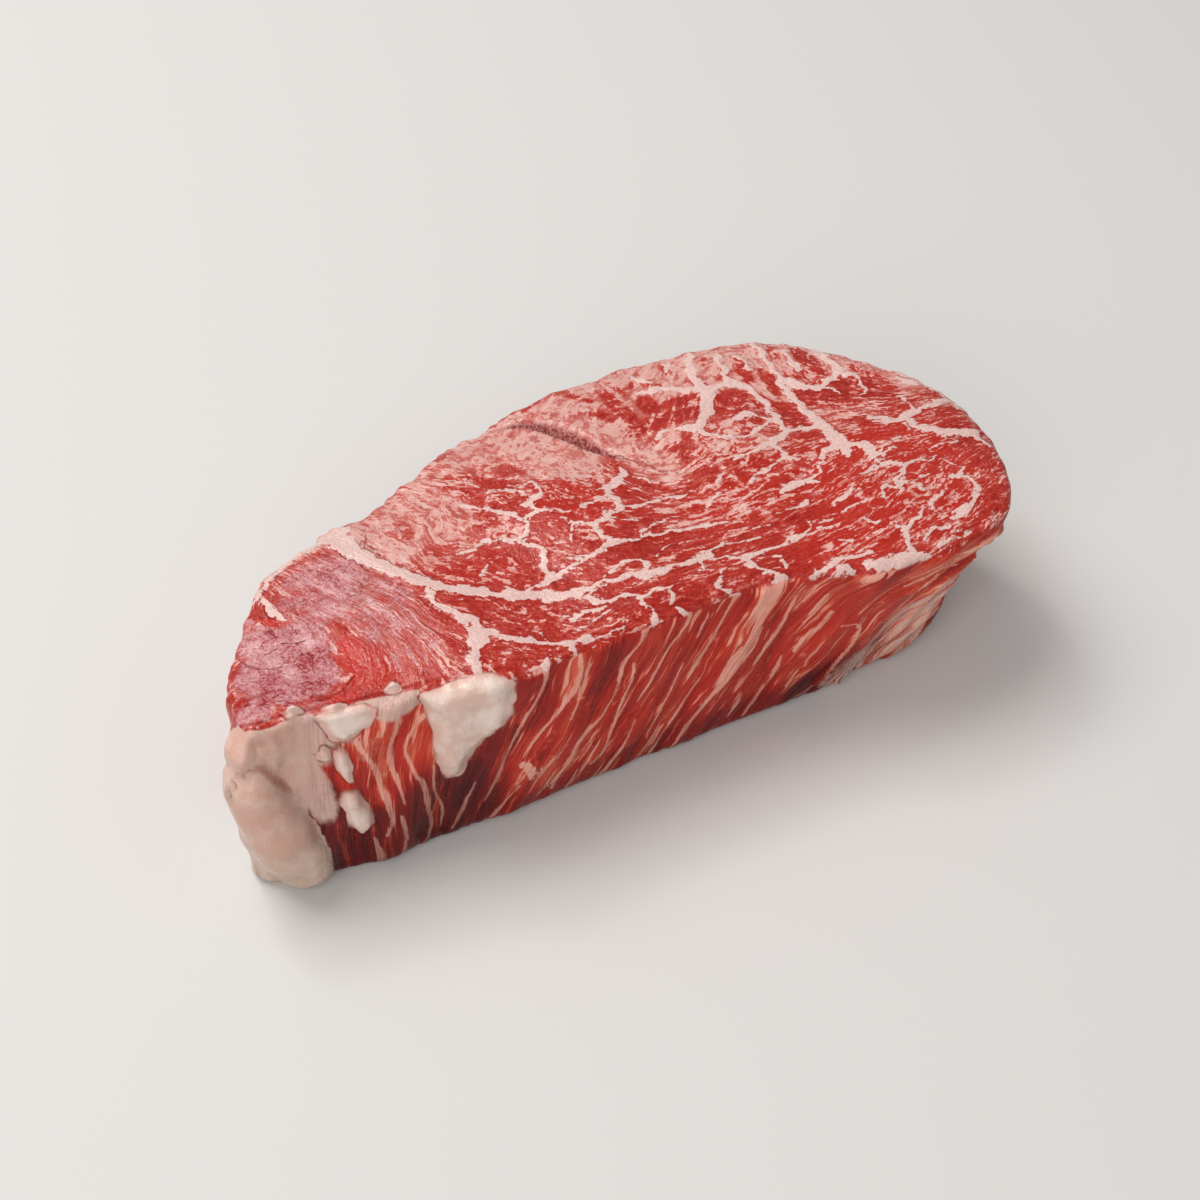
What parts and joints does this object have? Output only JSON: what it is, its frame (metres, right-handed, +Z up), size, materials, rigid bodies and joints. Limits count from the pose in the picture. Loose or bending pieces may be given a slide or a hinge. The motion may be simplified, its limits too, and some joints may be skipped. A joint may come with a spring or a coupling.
{
  "type": "raw beef tenderloin steak",
  "caption": "Thick raw beef tenderloin steak, a crowned cut with an uneven wall, lumps of fat at its narrow end and front, and a flat under side.",
  "frame": {"origin": "middle of the under side, on the surface that the steak lies on", "axes": "+X along the steak, from its narrow end to its broad end; +Y from the wall with the fat lumps to the far rim; +Z up through its thickness"},
  "size_m": [0.1486, 0.0704, 0.0361],
  "materials": {
    "meat": "moist raw meat, red with pale fat marbling, a soft gloss"
  },
  "bodies": {
    "root": {"steak": "meat"}
  },
  "joints": []
}
